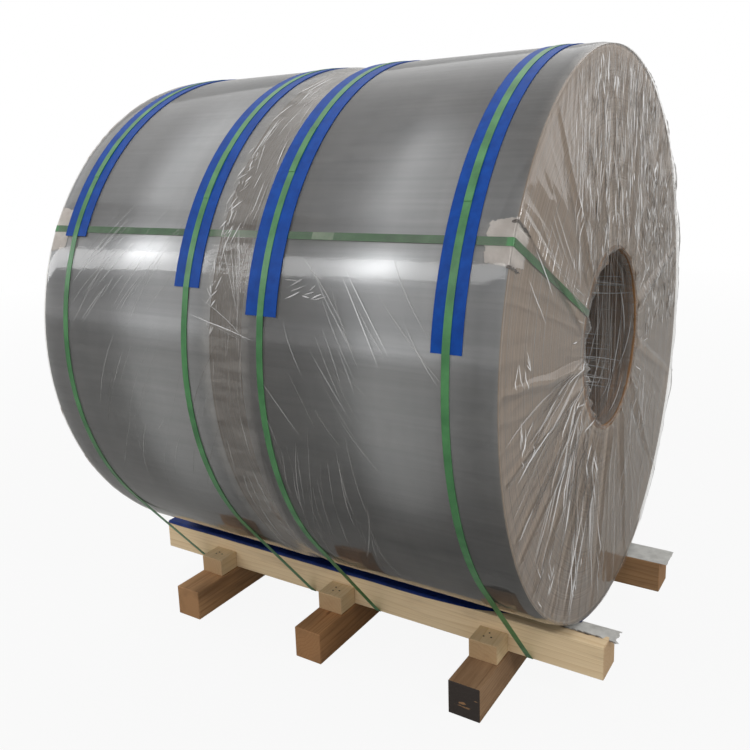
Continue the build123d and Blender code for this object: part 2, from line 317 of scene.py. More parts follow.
@dataclass(frozen=True)
class SlitEdges:
    """The ends of the strip's turns: slit edges side by side, duller and warmer than the rolled face."""

    axis_height: float
    light: str = "#CEBDAD"
    dark: str = "#A89686"
    turn_mm: float = 5.0

    def build(self) -> bpy.types.Material:
        """Builds the material; a turn is about 1 mm, and turns are drawn in groups that a pixel can show."""
        material, tree, shader = new_material("slit_edges")
        centred = add_vector_math(tree, "SUBTRACT", coordinates(tree), (0, 0, self.axis_height))
        radius = add_vector_math(tree, "LENGTH", add_vector_math(tree, "MULTIPLY", centred, (0, 1, 1)))
        rings = add_node(tree, "ShaderNodeTexNoise", {"W": radius, "Scale": 1 / (self.turn_mm * MM),
                                                      "Detail": 3.0}, noise_dimensions="1D").outputs["Fac"]
        plug(tree, shader, {
            "Base Color": add_ramp(tree, rings, [(0.30, linear(self.dark)), (0.70, linear(self.light))]),
            "Normal": add_bump(tree, rings, 0.4, 0.002),
            "Metallic": 0.3,
            "Roughness": 0.5,
        })
        return material


@dataclass(frozen=True)
class StretchFilm:
    """Clear stretch film, a few layers thick: seen through where taut, mirroring lamps on every wrinkle.

    The mesh's "gather" attribute says how loose the film is, from 0 where it is taut to 1.
    """

    name: str
    haze: str = "#DAD5CF"
    tint: str = "#FBFBFA"
    taut_haze: float = 0.05
    gathered_haze: float = 0.20
    layers_ior: float = 1.45
    roughness: float = 0.06
    wrinkle: tuple[float, float, float] = (0.05, 0.05, 0.05)
    wrinkle_height: float = 0.006

    def build(self) -> bpy.types.Material:
        """Builds the material; wrinkles are V-shaped, so their noise is folded at its middle."""
        material, tree, shader = new_material(self.name)
        gather = mesh_attribute(tree, "gather")
        folds = add_noise(tree, coordinates(tree, "UV"), self.wrinkle, detail=4.0, roughness=0.6)
        creased = add_math(tree, "ABSOLUTE", add_math(tree, "SUBTRACT", folds, 0.5))
        normal = add_bump(tree, add_math(tree, "MULTIPLY", creased, gather), 1.0, self.wrinkle_height)
        clear = add_node(tree, "ShaderNodeBsdfTransparent", {"Color": linear(self.tint)}).outputs[0]
        gloss = add_node(tree, "ShaderNodeBsdfAnisotropic", {"Color": WHITE, "Roughness": self.roughness,
                                                             "Normal": normal}).outputs[0]
        fresnel = {"IOR": self.layers_ior, "Normal": normal}
        mirror_share = add_node(tree, "ShaderNodeFresnel", fresnel).outputs[0]
        sheet = mix_shaders(tree, mirror_share, clear, gloss)
        milky = map_range(tree, gather, self.taut_haze, self.gathered_haze)
        hazy = add_math(tree, "MULTIPLY", add_math(tree, "MULTIPLY", milky, folds), 2.0)
        plug(tree, shader, {"Base Color": linear(self.haze), "Roughness": 0.5, "Normal": normal})
        set_surface(tree, mix_shaders(tree, hazy, sheet, shader.outputs[0]))
        return material


@dataclass(frozen=True)
class FoldEdge:
    """A sharp fold in the film, a doubled edge that catches the light, or the dark side of one: its colour is
    painted light, white for a painted highlight and dark grey for painted shade.

    The mesh's "tone" attribute goes from 0, painted shade, to 1, painted highlight.
    """

    dark: str = "#4B443E"
    middle: str = "#A8A39E"
    bright: str = "#FFFFFF"

    def build(self) -> bpy.types.Material:
        """Builds the material."""
        material, tree, shader = new_material("film_fold_edge")
        tone = mesh_attribute(tree, "tone")
        # Dark grey is painted shade, white a painted highlight.
        colours = [(0.0, linear(self.dark)), (0.4, linear(self.middle)), (0.8, linear(self.bright))]
        plug(tree, shader, {
            "Base Color": add_ramp(tree, tone, colours),
            "Alpha": add_ramp(tree, tone, [(0.0, 0.62), (0.4, 0.22), (0.7, 0.50), (1.0, 0.95)]),
            "Roughness": 0.22,
            "IOR": 1.6,
        })
        return material


@dataclass(frozen=True)
class PlainSheet:
    """A sheet or board of one dull colour with faint mottling, such as plastic sheet, board or paper.

    A mesh may carry a "soil" attribute, from 0 to 1, where torn or dirty parts darken.
    """

    name: str
    light: str
    dark: str
    soil: str = "#3E362F"
    mottle: tuple[float, float, float] = (0.03, 0.03, 0.03)
    roughness: float = 0.5
    gloss: float = 0.5
    relief: float = 0.15

    def build(self) -> bpy.types.Material:
        """Builds the material."""
        material, tree, shader = new_material(self.name)
        mottle = add_noise(tree, coordinates(tree), self.mottle, detail=6.0, roughness=0.6)
        tone = add_ramp(tree, mottle, [(0.35, linear(self.dark)), (0.65, linear(self.light))])
        plug(tree, shader, {
            "Base Color": mix_colours(tree, mesh_attribute(tree, "soil"), tone, linear(self.soil)),
            "Normal": add_bump(tree, mottle, self.relief, 0.002),
            "Roughness": self.roughness,
            "Specular IOR Level": self.gloss,
        })
        return material


@dataclass(frozen=True)
class Strapping:
    """Extruded polyester strap: glossy green with a fine pressed waffle that breaks up its shine."""

    light: str = "#4E8C55"
    dark: str = "#356F3F"
    waffle_mm: float = 4.0

    def build(self) -> bpy.types.Material:
        """Builds the material."""
        material, tree, shader = new_material("green_strapping")
        place = coordinates(tree)
        cells = add_node(tree, "ShaderNodeTexVoronoi", {"Vector": place, "Scale": 1 / (self.waffle_mm * MM),
                                                        "Randomness": 0.2}).outputs["Distance"]
        wear = add_noise(tree, place, (0.06, 0.06, 0.06), detail=4.0)
        plug(tree, shader, {
            "Base Color": add_ramp(tree, wear, [(0.35, linear(self.dark)), (0.68, linear(self.light))]),
            "Normal": add_bump(tree, cells, 0.35, 0.0008),
            "Roughness": 0.34,
        })
        return material


class Grain(Enum):
    """The way that a timber's grain runs."""

    ALONG_X = "X"
    ALONG_Y = "Y"


@dataclass(frozen=True)
class SawnPine:
    """Rough sawn pine: growth rings on the ends, long grain on the faces, some knots and dirt.

    A timber with a stain has its near end, past that place along Y, painted dark.
    """

    name: str
    early: str = "#F0D8B2"
    late: str = "#DBBE93"
    dirt: str = "#7A5A3C"
    knot: str = "#6E4526"
    grain: Grain = Grain.ALONG_X
    pith: tuple[float, float] = (0.0, 0.0)
    ring_mm: float = 11.0
    knot_size: float = 0.06
    dirt_level: float = 0.2
    shift: float = 0.0
    sawn_end: str = "#9A7048"
    sawn_end_share: float = 0.55
    stained_past: float | None = None
    stain: str = "#332B26"

    def build(self) -> bpy.types.Material:
        """Builds the material."""
        material, tree, shader = new_material(self.name)
        here = coordinates(tree)
        place = add_vector_math(tree, "ADD", here, (self.shift, self.shift, 0))
        figure = mix_values(tree, 0.6, self.rings(tree, here),
                            add_noise(tree, place, self.along(0.16, 0.004), detail=4.0))
        colour = add_ramp(tree, figure, [(0.2, linear(self.early)), (0.8, linear(self.late))])
        for mask, tone in (
            (self.dirt_mask(tree, place), self.dirt),
            (self.knot_mask(tree, place), self.knot),
            (self.end_mask(tree), self.sawn_end),
        ):
            colour = mix_colours(tree, mask, colour, linear(tone))
        if self.stained_past is not None:
            colour = mix_colours(tree, self.stain_mask(tree, here), colour, linear(self.stain))
        plug(tree, shader, {"Base Color": colour, "Normal": add_bump(tree, figure, 0.4, 0.0015),
                            "Roughness": 0.78})
        return material

    def along(self, lengthwise: float, crosswise: float) -> tuple[float, float, float]:
        """Gives a vector with one value along the grain and another across it."""
        if self.grain is Grain.ALONG_X:
            return lengthwise, crosswise, crosswise
        return crosswise, lengthwise, crosswise

    def rings(self, tree: Tree, here: Socket) -> Socket:
        """Gives the growth rings: pale early wood darkens slowly into thin late wood, then starts again."""
        slow = scaled_place(tree, here, self.along(0.06, 1.0))
        wander = add_node(tree, "ShaderNodeTexNoise", {"Vector": slow, "Scale": 14.0,
                                                       "Detail": 2.0}).outputs["Color"]
        bend = add_node(tree, "ShaderNodeVectorMath", {0: wander, "Scale": 0.05}, operation="SCALE")
        bent = add_vector_math(tree, "ADD", slow, bend.outputs[0])
        aside, height = self.pith
        pith = (0.0, aside, height) if self.grain is Grain.ALONG_X else (aside, 0.0, height)
        centred = add_vector_math(tree, "SUBTRACT", bent, pith)
        radius = add_vector_math(tree, "LENGTH",
                                 add_vector_math(tree, "MULTIPLY", centred, self.along(0.0, 1.0)))
        turns = add_math(tree, "MULTIPLY", radius, 1 / (self.ring_mm * MM))
        saw = add_math(tree, "FRACT", turns)
        return add_ramp(tree, saw, [(0.0, 0.1), (0.70, 0.35), (0.92, 1.0), (1.0, 0.15)])

    def dirt_mask(self, tree: Tree, place: Socket) -> Socket:
        """Gives where the timber is dirty."""
        blotch = add_noise(tree, place, self.along(0.3, 0.05), detail=5.0)
        grime = 0.3 * self.dirt_level
        return add_ramp(tree, blotch, [(0.62 - grime, 0.0), (0.95 - grime, min(1.0, 0.3 + self.dirt_level))])

    def knot_mask(self, tree: Tree, place: Socket) -> Socket:
        """Gives where the knots are."""
        spread = scaled_place(tree, place, self.along(3.1, 6.5))
        knots = add_node(tree, "ShaderNodeTexVoronoi", {"Vector": spread, "Scale": 1.0}).outputs["Distance"]
        return add_ramp(tree, knots, [(self.knot_size * 0.5, 0.85), (self.knot_size, 0.0)])

    def end_mask(self, tree: Tree) -> Socket:
        """Gives the sawn ends, which drink in dirt and look darker than the faces."""
        facing = add_node(tree, "ShaderNodeNewGeometry").outputs["Normal"]
        along = add_node(tree, "ShaderNodeSeparateXYZ", {0: facing}).outputs[self.grain.value]
        return add_math(tree, "MULTIPLY", add_math(tree, "ABSOLUTE", along), self.sawn_end_share)

    def stain_mask(self, tree: Tree, here: Socket) -> Socket:
        """Gives the painted end, with the spots that the paint missed."""
        depth = add_node(tree, "ShaderNodeSeparateXYZ", {0: here}).outputs["Y"]
        painted = add_math(tree, "LESS_THAN", depth, self.stained_past)
        missed = add_ramp(tree, add_noise(tree, here, (0.06, 0.06, 0.018)), [(0.66, 1.0), (0.70, 0.0)])
        return add_math(tree, "MULTIPLY", painted, missed)


def finish_object(builder: bmesh.types.BMesh, name: str, materials: list[bpy.types.Material],
                  smooth: bool = True) -> bpy.types.Object:
    """Turns a bmesh into a scene object at the origin.

    Args:
        builder: the finished bmesh, freed here.
        name: the piece's name.
        materials: its materials in slot order.
        smooth: whether its faces shade smoothly.

    Returns:
        The new object.
    """
    mesh = bpy.data.meshes.new(name)
    builder.to_mesh(mesh)
    builder.free()
    for material in materials:
        mesh.materials.append(material)
    mesh.polygons.foreach_set("use_smooth", [smooth] * len(mesh.polygons))
    piece = bpy.data.objects.new(name, mesh)
    bpy.context.scene.collection.objects.link(piece)
    return piece


def dress(node: str, material: bpy.types.Material) -> None:
    """Gives a CAD node's object one material.

    Args:
        node: the node's name.
        material: what every slot of it gets.
    """
    piece = bpy.data.objects[node]
    if not piece.material_slots:
        piece.data.materials.append(material)
    for slot in piece.material_slots:
        slot.material = material


def register(piece: bpy.types.Object, slot: str, *nodes: str) -> None:
    """Hangs a new piece on the frame's root body and hides the CAD nodes that it stands for.

    Args:
        piece: the new piece.
        slot: the record's material slot it takes its finish from; not used.
        *nodes: the CAD nodes it stands for.
    """
    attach(piece, "root")
    if nodes:
        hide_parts(*nodes)
    LOG.info("%s: %d faces", piece.name, len(piece.data.polygons))


def add_grid(builder: bmesh.types.BMesh, columns: int, rows: int,
             place: Place) -> list[tuple[bmesh.types.BMVert, float, float]]:
    """Adds a grid whose points lie where a function puts them; its UV map, if it has one, keeps u and v.

    Args:
        builder: the bmesh to add to.
        columns: the quads along u.
        rows: the quads along v.
        place: gives a point for u and v, each from 0 to 1.

    Returns:
        Each point with its u and v.
    """
    made = bmesh.ops.create_grid(builder, x_segments=columns, y_segments=rows, size=0.5,
                                 calc_uvs=bool(builder.loops.layers.uv))
    points = [(vert, vert.co.x + 0.5, vert.co.y + 0.5) for vert in made["verts"]]
    for vert, u, v in points:
        vert.co = place(u, v)
    return points


@dataclass
class LoadSizes:
    """Where the load stands, read from the frame."""

    axis_height: float
    film_radius: float
    film_end: float
    gap: tuple[float, float]
    eye_radius: float = 249.5 * MM
    corner: float = 5.0 * MM

    @classmethod
    def from_frame(cls) -> "LoadSizes":
        """Reads the boxes of the film, the strap under it and the coils."""
        low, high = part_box("stretch_film")
        cover = 1.5 * MM
        return cls(axis_height=(low[2] + high[2]) / 2, film_radius=(high[2] - low[2]) / 2,
                   film_end=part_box("eye_strap")[1][0] + cover,
                   gap=(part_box("coil_left")[1][0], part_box("coil_right")[0][0]))

    def around(self, x: float, radius: float, angle: float) -> Vector:
        """Gives the point at that place along X, radius and angle in degrees round the coils' axis."""
        turn = math.radians(angle)
        return Vector((x, radius * math.cos(turn), self.axis_height + radius * math.sin(turn)))


@dataclass
class Coils:
    """The two coils, with the ends of their turns standing unevenly."""

    sizes: LoadSizes
    metal: bpy.types.Material
    edges: bpy.types.Material
    bore_radius: float = 264.8 * MM
    segments: int = 192
    turn_steps: int = 56
    unevenness: float = 1.1 * MM

    def build(self) -> None:
        """Builds and registers both coils."""
        for number, name in enumerate(("left", "right")):
            low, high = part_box(f"coil_{name}")
            piece = self.turned(f"coil_turns_{name}", low[0], high[0], (high[2] - low[2]) / 2, number)
            register(piece, "aluminium", f"coil_{name}")

    def turned(self, name: str, start: float, end: float, radius: float, seed: int) -> bpy.types.Object:
        """Spins a coil's outline, with each band of turns a little in or out.

        Args:
            name: the piece's name.
            start: the left end's X.
            end: the right end's X.
            radius: the outer radius.
            seed: which of the coils this is.

        Returns:
            The coil.
        """
        draw = random.Random(40 + seed)
        step = (radius - self.bore_radius) / self.turn_steps
        sides: dict[int, list[tuple[float, float]]] = {-1: [], 1: []}
        for number in range(self.turn_steps):
            inner = self.bore_radius + number * step
            for side, face in ((-1, start), (1, end)):
                x = face - side * draw.uniform(0.0, 1.0) ** 2 * self.unevenness
                sides[side] += [(x, inner), (x, inner + step)]
        builder = bmesh.new()
        outline = sides[1] + sides[-1][::-1]
        corners = [builder.verts.new((x, 0.0, self.sizes.axis_height + r)) for x, r in outline]
        for index, corner in enumerate(corners):
            builder.edges.new((corner, corners[(index + 1) % len(corners)]))
        bmesh.ops.spin(builder, geom=builder.verts[:] + builder.edges[:], angle=math.tau, steps=self.segments,
                       axis=(1, 0, 0), cent=(0, 0, self.sizes.axis_height), use_merge=True)
        bmesh.ops.remove_doubles(builder, verts=builder.verts[:], dist=WELD_DISTANCE)
        bmesh.ops.recalc_face_normals(builder, faces=builder.faces[:])
        for face in builder.faces:
            face.material_index = 1 if abs(face.normal.x) > 0.5 else 0
        piece = finish_object(builder, name, [self.metal, self.edges])
        piece.data.polygons.foreach_set("use_smooth", [p.material_index == 0 for p in piece.data.polygons])
        return piece


@dataclass
class FilmShape:
    """Where the film lies: flat round the coils, pleated and wrinkled over their ends, through the eyes."""

    sizes: LoadSizes
    pleat_height: tuple[float, float] = (13.0 * MM, 4.5 * MM)
    pleat_width: tuple[float, float] = (26.0 * MM, 13.0 * MM)
    pleat_margin: tuple[float, float] = (14.0 * MM, 24.0 * MM)
    pleat_wander: float = 6.0 * MM
    wrinkle_height: float = 5.0 * MM
    gap_sag: float = 9.0 * MM
    puff: float = 13.0 * MM
    puff_reach: float = 90.0 * MM
    mouth: float = 70.0 * MM
    # How far in from the rim, and out from the eye, the wrinkles rise from nothing.
    fade: tuple[float, float] = (12.0 * MM, 10.0 * MM)
    # Angle round the coils and how loose the film is there: gathered at the top and the rear, taut in front.
    looseness: list[tuple[float, float]] = field(default_factory=lambda: [
        (0, 0.4), (20, 0.9), (60, 1.0), (108, 0.95), (128, 0.3), (140, 0.06), (182, 0.08), (196, 0.12),
        (245, 0.14), (290, 0.10), (340, 0.16), (360, 0.4)])
    # Angle and how far the wrinkles hang upright there, instead of running out from the eye.
    upright: list[tuple[float, float]] = field(default_factory=lambda: [
        (0, 0.3), (30, 1.0), (122, 1.0), (140, 0.0), (330, 0.0), (360, 0.3)])

    def __post_init__(self) -> None:
        """Works out the pleats' lines on the end: where each starts, its way and its length."""
        self.lines: list[tuple[Vector, Vector, float]] = []
        for eye_angle, rim_angle in PLEATS:
            foot = self.on_end(self.sizes.eye_radius + self.pleat_margin[0], eye_angle)
            head = self.on_end(self.sizes.film_radius - self.pleat_margin[1], rim_angle)
            self.lines.append((foot, (head - foot).normalized(), (head - foot).length))

    @staticmethod
    def on_end(radius: float, angle: float) -> Vector:
        """Gives the point of an end at that radius and angle in degrees, as Y and height over the axis."""
        turn = math.radians(angle)
        return Vector((radius * math.cos(turn), radius * math.sin(turn)))

    def pleats(self, point: Vector) -> float:
        """Gives how far the pleats lift the film at a point of the end."""
        rise = 0.0
        for foot, way, length in self.lines:
            offset = point - foot
            share = offset.dot(way) / length
            if -0.04 < share < 1.0:
                wander = self.pleat_wander * noise.noise(Vector((point.x * 7, point.y * 7, foot.x * 30)))
                aside = abs(offset.x * way.y - offset.y * way.x + wander)
                share = max(0.0, share)
                half = self.pleat_width[0] + (self.pleat_width[1] - self.pleat_width[0]) * share
                top = self.pleat_height[0] + (self.pleat_height[1] - self.pleat_height[0]) * share
                rise = max(rise, top * (1 - aside / half))
        return rise

    def gather(self, point: Vector) -> float:
        """Gives how loose the film is at a point of the end, from 0 to 1."""
        patches = 0.75 + 0.5 * noise.noise(Vector((point.x * 9, point.y * 9, 4.0)))
        near_eye = max(0.0, 1 - (point.length - self.sizes.eye_radius) / self.mouth)
        return min(1.0, between(self.looseness, angle_of(point)) * patches + 0.5 * near_eye)

    def rise(self, point: Vector, side: float) -> float:
        """Gives how far the film stands out from the flat end at a point of it.

        Args:
            point: Y and height over the axis.
            side: 1 for the right end, -1 for the left.

        Returns:
            The height in metres.
        """
        radius = point.length
        way = point.normalized()
        upright = between(self.upright, angle_of(point))
        drift = 0.8 * noise.noise(Vector((point.x * 8, point.y * 8, 0)))
        hanging = Vector((point.x * 42 + drift, point.y * 4, side))
        running = Vector((way.x * 17, way.y * 17, radius * 3 + side * 5))
        wrinkles = upright * ridge(hanging) ** 2 + (1 - upright) * ridge(running) ** 2
        loose = self.wrinkle_height * wrinkles * (0.25 + 0.75 * self.gather(point))
        # The film stands off in puffs along the rim at the rear and over the top.
        from_rim = self.sizes.film_radius - radius
        from_eye = radius - self.sizes.eye_radius
        puffiness = max(0.0, 0.5 + noise.noise(Vector((way.x * 6, way.y * 6, side * 9))))
        puffs = self.puff * clamp(1 - from_rim / self.puff_reach) * clamp(way.x + 0.75) * puffiness
        fade = min(1.0, from_rim / self.fade[0], from_eye / self.fade[1])
        return (self.pleats(point) + loose + puffs) * max(0.0, fade)

    def end_point(self, point: Vector, side: float, lift: float = 0.0) -> Vector:
        """Gives the film's place over a point of the end, lifted off it by some metres."""
        x = side * (self.sizes.film_end + self.rise(point, side) + lift)
        return Vector((x, point.x, self.sizes.axis_height + point.y))

    def girth_point(self, x: float, angle: float, lift: float = 0.0) -> Vector:
        """Gives the film's place round the coils; between them it sinks in, but not over the eye strap."""
        low, high = self.sizes.gap
        sag = 0.0
        if low < x < high:
            clear_of_strap = clamp(abs(angle - STRAP_ANGLE) / 2.5 - 1.0)
            uneven = 0.75 + 0.5 * noise.noise(Vector((angle / 9, 0, 2)))
            hollow = math.sin(math.pi * (x - low) / (high - low)) ** 0.6
            sag = self.gap_sag * hollow * clear_of_strap * uneven
        return self.sizes.around(x, self.sizes.film_radius - sag + lift, angle)


@dataclass
class Film:
    """The stretch film, in the sheets that show: one round the coils, one over each end, one in the eyes."""

    shape: FilmShape
    girth_film: bpy.types.Material
    end_film: bpy.types.Material
    right_end_grid: tuple[int, int] = (800, 110)
    left_end_grid: tuple[int, int] = (720, 90)
    girth_grid: tuple[int, int] = (360, 60)
    eye_grid: tuple[int, int] = (160, 48)

    def build(self) -> None:
        sizes = self.shape.sizes
        width = 2 * sizes.film_end
        across = 2 * sizes.film_radius
        ring = math.pi * (sizes.film_radius ** 2 - sizes.eye_radius ** 2)
        self.sheet("film_girth", self.girth_film, self.girth_grid, self.girth_place,
                   ["coil_left", "coil_right"], (math.tau * sizes.film_radius, width))
        for side, name, grid in ((1.0, "right", self.right_end_grid), (-1.0, "left", self.left_end_grid)):
            self.sheet(f"film_end_{name}", self.end_film, grid, self.end_place(side), [f"coil_{name}"],
                       (across, across), ring, turned_over=side > 0)
        self.sheet("film_eye", self.girth_film, self.eye_grid, self.eye_place, ["core_left", "core_right"],
                   (math.tau * sizes.eye_radius, width), turned_over=True)

    def sheet(self, name: str, material: bpy.types.Material, grid: tuple[int, int], place: Place,
              rests_on: list[str], flat: tuple[float, float], area: float | None = None,
              turned_over: bool = False) -> None:
        """Builds one sheet of film.

        Args:
            name: the piece's name.
            material: its finish.
            grid: its quads round the axis and across.
            place: gives a point for the turn and the way across, each from 0 to 1.
            rests_on: what it lies on; not used.
            flat: its width and length when cut; not used.
            area: its flat area, where it isn't a rectangle; not used.
            turned_over: whether its faces are reversed, so that they point away from the coils.
        """
        builder = bmesh.new()
        builder.loops.layers.uv.new("UVMap")
        gather = builder.verts.layers.float.new("gather")
        for vert, _, _ in add_grid(builder, *grid, place):
            point = Vector((vert.co.y, vert.co.z - self.shape.sizes.axis_height))
            vert[gather] = self.looseness(vert.co.x, point)
        bmesh.ops.remove_doubles(builder, verts=builder.verts[:], dist=WELD_DISTANCE)
        if turned_over:
            bmesh.ops.reverse_faces(builder, faces=builder.faces[:])
        piece = finish_object(builder, name, [material])
        register(piece, "clear_film", "stretch_film")
        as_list(rests_on)

    def looseness(self, x: float, point: Vector) -> float:
        """Gives how loose the film is, from 0 to 1, at a place along X and a point of the section there."""
        s = self.shape.sizes
        low, high = s.gap
        if abs(x) > s.film_end - s.corner:
            return self.shape.gather(point)
        if point.length < s.eye_radius + s.corner:
            return 0.3
        return 0.4 if low - 30 * MM < x < high + 30 * MM else 0.05

    def along(self, v: float) -> tuple[float, float]:
        """Gives the place along X at a share of the load's length, and how far in from an end it is."""
        x = (2 * v - 1) * self.shape.sizes.film_end
        return x, self.shape.sizes.film_end - abs(x)

    def turned_in(self, inside: float, reach: float) -> float:
        """Gives how far a sheet has turned over the rim, at a distance in from the end."""
        return self.shape.sizes.corner * (1 - inside / reach) ** 4 if inside < reach else 0.0

    def girth_place(self, u: float, v: float) -> Vector:
        """Gives a point of the sheet round the coils; its last rows turn over the rims."""
        x, inside = self.along(v)
        return self.shape.girth_point(x, 360 * u - 90, -self.turned_in(inside, 24 * MM))

    def end_place(self, side: float) -> Place:
        """Gives the function that places the points of one end's sheet."""
        s = self.shape.sizes

        def place(u: float, v: float) -> Vector:
            radius = s.eye_radius + s.corner + v * (s.film_radius - s.eye_radius - 2 * s.corner)
            return self.shape.end_point(self.shape.on_end(radius, 360 * u - 90), side)

        return place

    def eye_place(self, u: float, v: float) -> Vector:
        """Gives a point of the sheet through the eyes, which opens out at both mouths."""
        s = self.shape.sizes
        x, inside = self.along(v)
        slack = 3 * MM * ridge(Vector((x * 5, math.cos(math.tau * u) * 3, math.sin(math.tau * u) * 3)))
        opened = self.turned_in(inside, 30 * MM) - slack * min(1.0, inside / (60 * MM))
        return s.around(x, s.eye_radius + opened, 360 * u - 90)


class Chart(Enum):
    """The part of the film that folds are drawn on, and what their two coordinates are, in metres."""

    RIGHT_END = "Y and height over the axis"
    LEFT_END = "Y and height over the axis, at the left end"
    GIRTH = "X and the way up from the front, round the coils"
    EYE = "X and the way round the eye from the rear"


@dataclass(frozen=True)
class FoldBundle:
    """Folds of the film that lie together, drawn at random about one place.

    A bundle with a pole fans out from it: its heading is then added to the way out from the pole.
    """

    middle: tuple[float, float]
    spread: tuple[float, float]
    count: int
    length: tuple[float, float]
    width: tuple[float, float] = (2.0 * MM, 4.5 * MM)
    heading: float = 90.0
    stray: float = 8.0
    # tone runs from 0, painted shade, to 1, painted highlight.
    tone: tuple[float, float] = (0.5, 1.0)
    pole: tuple[float, float] | None = None
    bow: float = 0.04
    across_eye: bool = False


# Widths of the finest folds and of crisp ones, and where the big fan starts
FINE = (1.0 * MM, 2.4 * MM)
CRISP = (1.5 * MM, 4.0 * MM)
FAN_POLE = (-0.20, 0.02)

# Where the photograph shows folds: places and sizes in metres, headings in degrees.
# Each bundle's tone is painted light: 0 is painted shade, 1 a painted highlight.
FOLD_BUNDLES = {
    Chart.RIGHT_END: [
        # Upright crinkles over the top, with painted highlights and painted shade
        FoldBundle((0.04, 0.50), (0.40, 0.27), 620, (0.02, 0.10), CRISP, stray=12, tone=(0.45, 1.0)),
        FoldBundle((0.10, 0.48), (0.38, 0.27), 260, (0.02, 0.10), stray=12, tone=(0.0, 0.2)),
        # Flecks towards the rear
        FoldBundle((0.52, 0.20), (0.22, 0.26), 380, (0.015, 0.06), CRISP, stray=45, tone=(0.45, 1.0)),
        FoldBundle((0.55, 0.18), (0.20, 0.26), 120, (0.015, 0.06), stray=45, tone=(0.0, 0.2)),
        # A few long ones over the taut front
        FoldBundle((-0.50, 0.32), (0.13, 0.16), 9, (0.12, 0.26), heading=-48, stray=9, tone=(0.55, 0.9)),
        # The fan that runs out from the front of the eye
        FoldBundle((-0.42, -0.36), (0.34, 0.34), 110, (0.10, 0.42), (2.5 * MM, 7.0 * MM), heading=0, stray=4,
                   tone=(0.45, 0.85), pole=FAN_POLE),
        FoldBundle((-0.40, -0.36), (0.32, 0.34), 60, (0.08, 0.30), (3.0 * MM, 8.0 * MM), heading=0, stray=4,
                   tone=(0.05, 0.25), pole=FAN_POLE),
        # Crumpled spots
        FoldBundle((-0.69, 0.05), (0.05, 0.04), 8, (0.02, 0.07), stray=60, tone=(0.8, 1.0)),
        FoldBundle((-0.66, -0.12), (0.04, 0.05), 7, (0.02, 0.06), stray=60, tone=(0.7, 1.0)),
        FoldBundle((-0.53, -0.50), (0.05, 0.05), 10, (0.02, 0.06), stray=70, tone=(0.7, 1.0)),
        FoldBundle((-0.30, -0.62), (0.04, 0.05), 8, (0.02, 0.05), stray=70, tone=(0.7, 1.0)),
        # The long fold low on the end, with a painted highlight
        FoldBundle((-0.30, -0.57), (0.03, 0.05), 6, (0.14, 0.28), (3.0 * MM, 8.0 * MM), heading=62, stray=6,
                   tone=(0.6, 0.85)),
        # Faint upright ones low at the rear
        FoldBundle((0.22, -0.46), (0.30, 0.22), 70, (0.10, 0.34), heading=82, stray=7, tone=(0.35, 0.7)),
        # Round the mouth of the eye
        FoldBundle((0.0, 0.0), (0.36, 0.36), 90, (0.03, 0.09), heading=0, stray=25, tone=(0.3, 1.0),
                   pole=(0.0, 0.0)),
        # Strands drawn taut across the eye's mouth
        FoldBundle((-0.07, 0.04), (0.15, 0.05), 18, (0.60, 0.86), (1.5 * MM, 5.0 * MM), stray=3,
                   tone=(0.25, 0.5), bow=0.01, across_eye=True),
    ],
    Chart.EYE: [
        # Along the eye and round it
        FoldBundle((0.62, -0.06), (0.10, 0.22), 44, (0.08, 0.26), heading=0, stray=5, tone=(0.4, 0.9)),
        FoldBundle((0.60, -0.04), (0.12, 0.24), 60, (0.10, 0.30), heading=90, stray=6, tone=(0.1, 0.75)),
    ],
    Chart.GIRTH: [
        # The left coil: slanting folds down its front
        FoldBundle((-0.40, 0.26), (0.17, 0.12), 36, (0.08, 0.26), FINE, heading=52, stray=7,
                   tone=(0.4, 0.75)),
        FoldBundle((-0.28, -0.20), (0.20, 0.18), 22, (0.12, 0.34), FINE, heading=62, stray=9,
                   tone=(0.2, 0.6)),
        # The right coil: long slanting ones, and wrinkles that run up from the bearer
        FoldBundle((0.42, 0.20), (0.14, 0.10), 8, (0.16, 0.32), (1.2 * MM, 2.8 * MM), heading=-56, stray=8,
                   tone=(0.5, 0.85)),
        FoldBundle((0.26, 0.0), (0.16, 0.16), 16, (0.10, 0.26), FINE, heading=-60, stray=14,
                   tone=(0.4, 0.65)),
        FoldBundle((0.20, -0.40), (0.16, 0.16), 36, (0.12, 0.34), (1.5 * MM, 3.5 * MM), heading=84, stray=12,
                   tone=(0.35, 0.55)),
        FoldBundle((0.22, 0.23), (0.06, 0.02), 9, (0.02, 0.05), heading=20, stray=50, tone=(0.6, 0.8)),
        # Round the rear, like those in front
        FoldBundle((-0.40, 2.35), (0.24, 0.45), 44, (0.10, 0.30), FINE, heading=-60, stray=12,
                   tone=(0.35, 0.7)),
        FoldBundle((0.40, 2.35), (0.24, 0.45), 44, (0.10, 0.30), FINE, heading=58, stray=12,
                   tone=(0.35, 0.7)),
        # Between the coils: folds that run together, and flecks beside them
        FoldBundle((-0.02, 0.24), (0.035, 0.12), 12, (0.10, 0.24), (0.9 * MM, 2.0 * MM), heading=180, stray=4,
                   tone=(0.5, 0.9), pole=(0.045, 0.10)),
        FoldBundle((-0.055, 0.36), (0.018, 0.26), 70, (0.01, 0.05), heading=80, stray=40, tone=(0.45, 0.8)),
        FoldBundle((-0.01, -0.2), (0.05, 0.40), 26, (0.05, 0.20), heading=86, stray=10, tone=(0.35, 0.6)),
        FoldBundle((-0.01, 0.55), (0.05, 0.40), 34, (0.05, 0.16), heading=84, stray=14, tone=(0.4, 0.8)),
    ],
}
# The left end, which the photograph doesn't show, is folded like the right one.
FOLD_BUNDLES[Chart.LEFT_END] = FOLD_BUNDLES[Chart.RIGHT_END]


